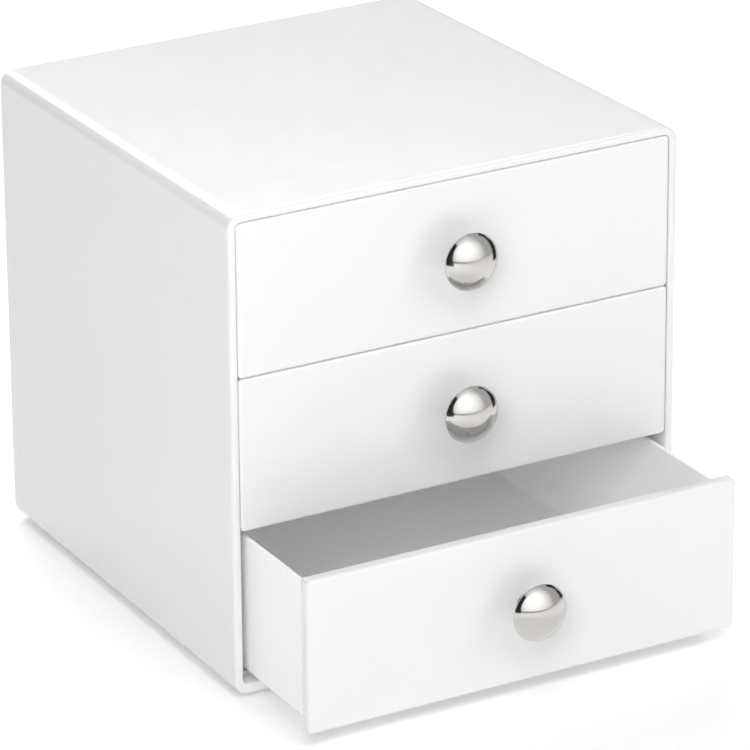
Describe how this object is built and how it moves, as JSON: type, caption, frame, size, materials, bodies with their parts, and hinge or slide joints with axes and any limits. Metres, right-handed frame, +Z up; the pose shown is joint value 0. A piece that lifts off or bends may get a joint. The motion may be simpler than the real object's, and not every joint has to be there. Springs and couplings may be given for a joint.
{
  "type": "desk organizer",
  "caption": "Compact desktop box with stacked sliding drawers, inset fronts and round domed metal knobs.",
  "frame": {"origin": "on the table, under the middle of the organizer's whole box, with its bottom drawer partly open as it rests", "axes": "+X to the right seen from the front, +Y from the drawer fronts to the back, +Z up"},
  "size_m": [0.165, 0.2248, 0.1665],
  "materials": {
    "white_plastic": "white injection-moulded plastic, glossy",
    "knob_metal": "polished nickel-chrome plating",
    "fixing_steel": "zinc-plated steel",
    "foot_rubber": "translucent grey soft polymer, satin"
  },
  "bodies": {
    "case": {"case_shell": "white_plastic", "foot_front_left": "foot_rubber", "foot_front_right": "foot_rubber", "foot_rear_left": "foot_rubber", "foot_rear_right": "foot_rubber"},
    "bottom_drawer": {"drawer_front_bottom": "white_plastic", "drawer_tray_bottom": "white_plastic", "knob_bottom": "knob_metal", "knob_screw_bottom": "fixing_steel", "knob_washer_bottom": "fixing_steel"},
    "middle_drawer": {"drawer_front_middle": "white_plastic", "drawer_tray_middle": "white_plastic", "knob_middle": "knob_metal", "knob_screw_middle": "fixing_steel", "knob_washer_middle": "fixing_steel"},
    "top_drawer": {"drawer_front_top": "white_plastic", "drawer_tray_top": "white_plastic", "knob_top": "knob_metal", "knob_screw_top": "fixing_steel", "knob_washer_top": "fixing_steel"}
  },
  "joints": [
    {"name": "bottom_drawer_slide", "type": "slide", "parent": "case", "child": "bottom_drawer", "axis": [0, -1, 0], "range_m": [-0.0428, 0.0752]},
    {"name": "middle_drawer_slide", "type": "slide", "parent": "case", "child": "middle_drawer", "axis": [0, -1, 0], "range_m": [0, 0.118]},
    {"name": "top_drawer_slide", "type": "slide", "parent": "case", "child": "top_drawer", "axis": [0, -1, 0], "range_m": [0, 0.118]}
  ]
}
